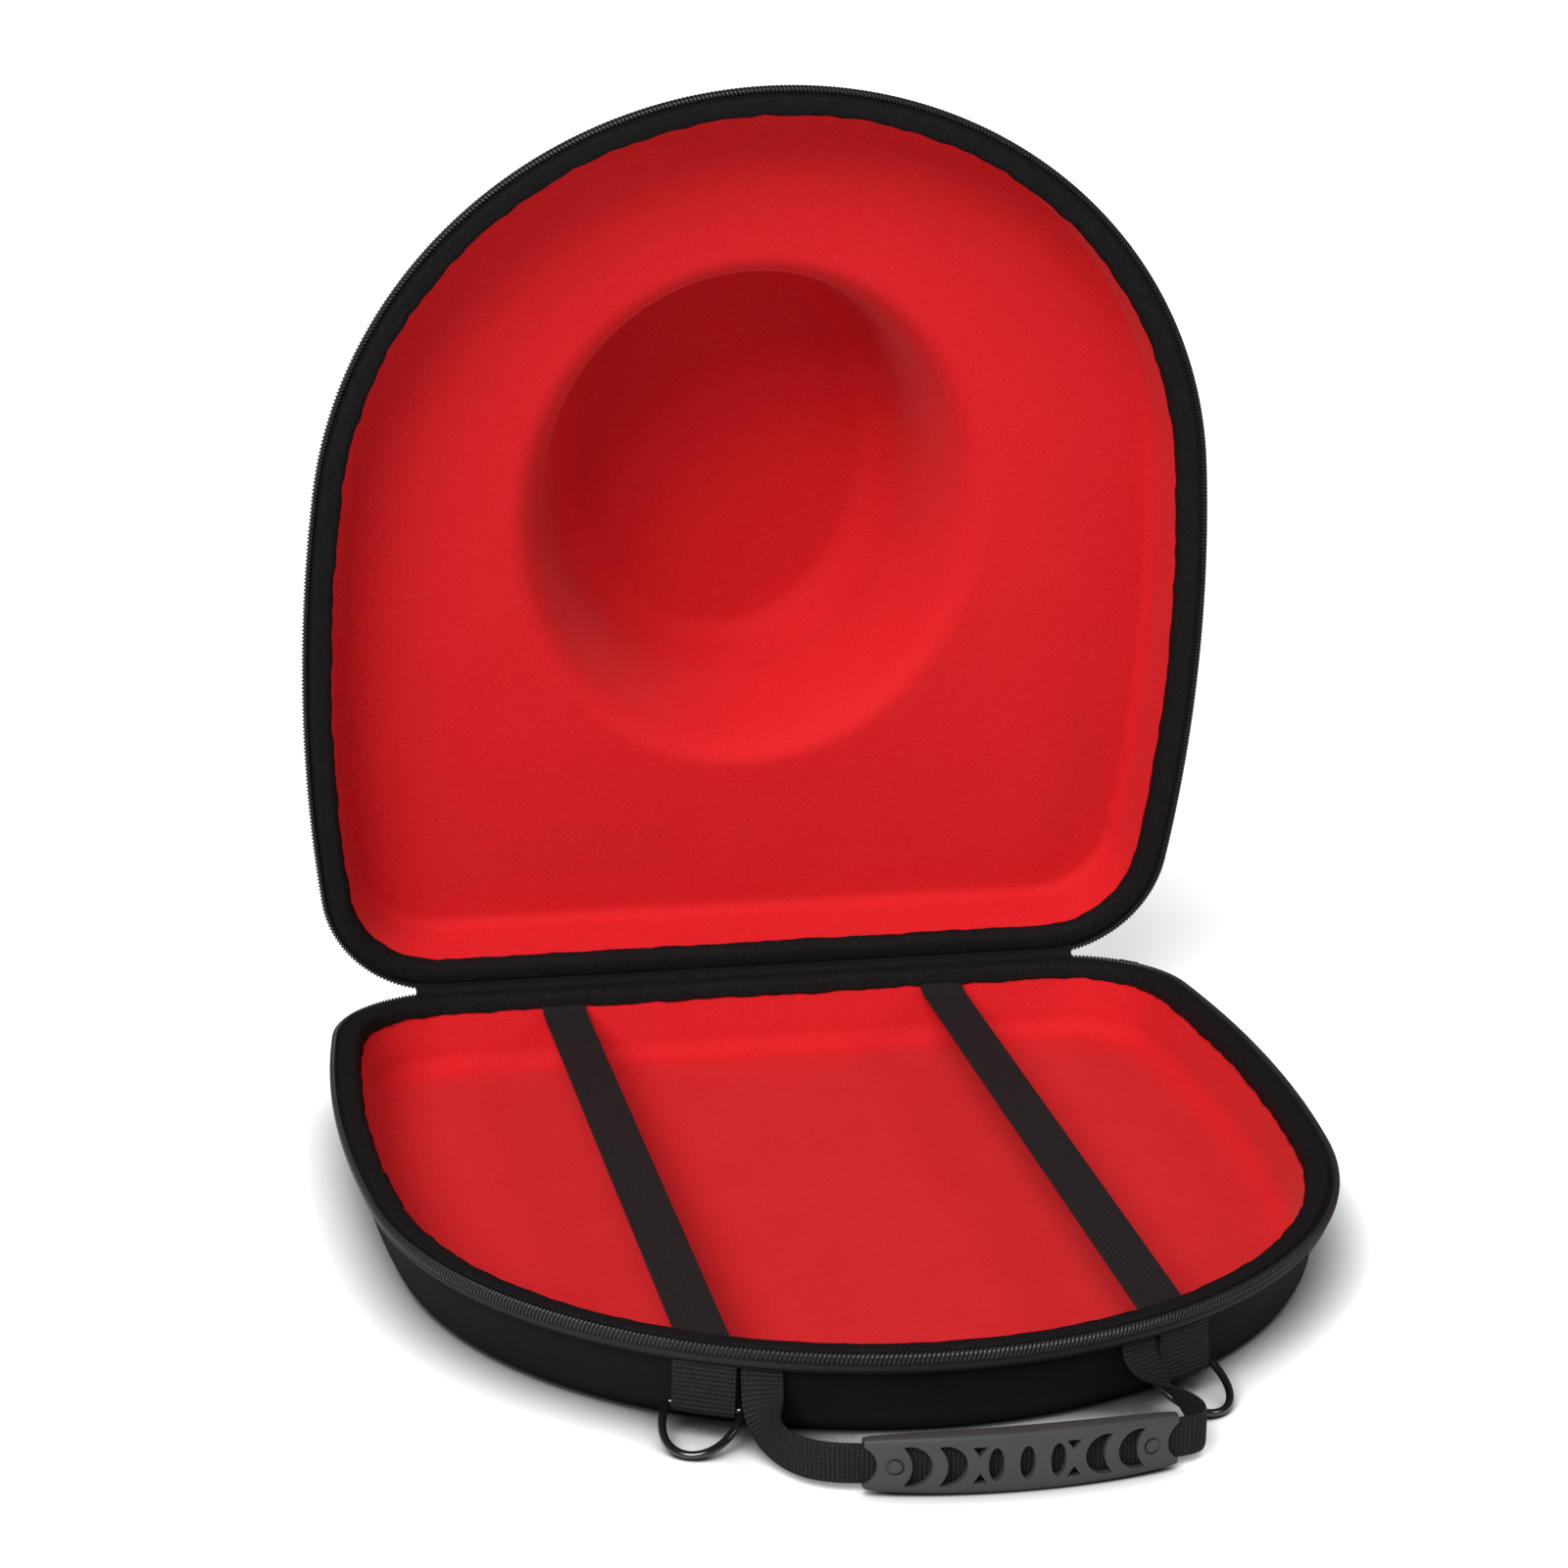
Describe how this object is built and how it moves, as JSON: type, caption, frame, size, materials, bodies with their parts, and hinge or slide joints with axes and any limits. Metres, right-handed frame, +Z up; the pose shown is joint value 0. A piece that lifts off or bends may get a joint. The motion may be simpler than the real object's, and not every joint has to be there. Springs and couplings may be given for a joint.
{
  "type": "hat travel case",
  "caption": "Moulded zip-round hat case standing open, with a crown dome in the lid, hold-down elastics, D-rings and a webbing carry handle.",
  "frame": {"origin": "middle of the flat underside of the base", "axes": "+Z up, +Y from the front with the carry handle to the hinged back, +X to the right seen from the front"},
  "size_m": [0.41, 0.5708, 0.4596],
  "materials": {
    "shell_fabric": "smooth matte woven cover on a moulded foam shell",
    "lining_fabric": "matte short-pile lining moulded to the shell",
    "binding_tape": "matte twill tape",
    "zip_coil": "satin nylon coil on woven tape",
    "webbing": "matte ribbed webbing",
    "elastic_tape": "matte ribbed elastic",
    "dark_metal": "glossy dark plating",
    "grip_rubber": "matte moulded rubber"
  },
  "bodies": {
    "base": {"base_shell": "shell_fabric", "base_lining": "lining_fabric", "base_binding": "binding_tape", "base_zip": "zip_coil", "hinge_leaf_base": "binding_tape", "zip_slider": "dark_metal", "ring_tab_left": "webbing", "ring_tab_right": "webbing", "elastic_left": "elastic_tape", "elastic_right": "elastic_tape", "handle_strap": "webbing", "handle_grip": "grip_rubber"},
    "lid": {"lid_shell": "shell_fabric", "lid_lining": "lining_fabric", "lid_binding": "binding_tape", "lid_zip": "zip_coil", "hinge_leaf_lid": "binding_tape"},
    "ring_left": {"d_ring_left": "dark_metal"},
    "ring_right": {"d_ring_right": "dark_metal"}
  },
  "joints": [
    {"name": "lid_hinge", "type": "hinge", "parent": "base", "child": "lid", "pos_m": [0, 0.213, 0.039], "axis": [1, 0, 0], "range_deg": [0, 80]},
    {"name": "ring_left_swing", "type": "hinge", "parent": "base", "child": "ring_left", "pos_m": [-0.09215, -0.18686, 0.0118], "axis": [0.8852, -0.4652, 0], "range_deg": [-60, 65]},
    {"name": "ring_right_swing", "type": "hinge", "parent": "base", "child": "ring_right", "pos_m": [0.09215, -0.18686, 0.0118], "axis": [0.8852, 0.4652, 0], "range_deg": [-8, 65]}
  ]
}
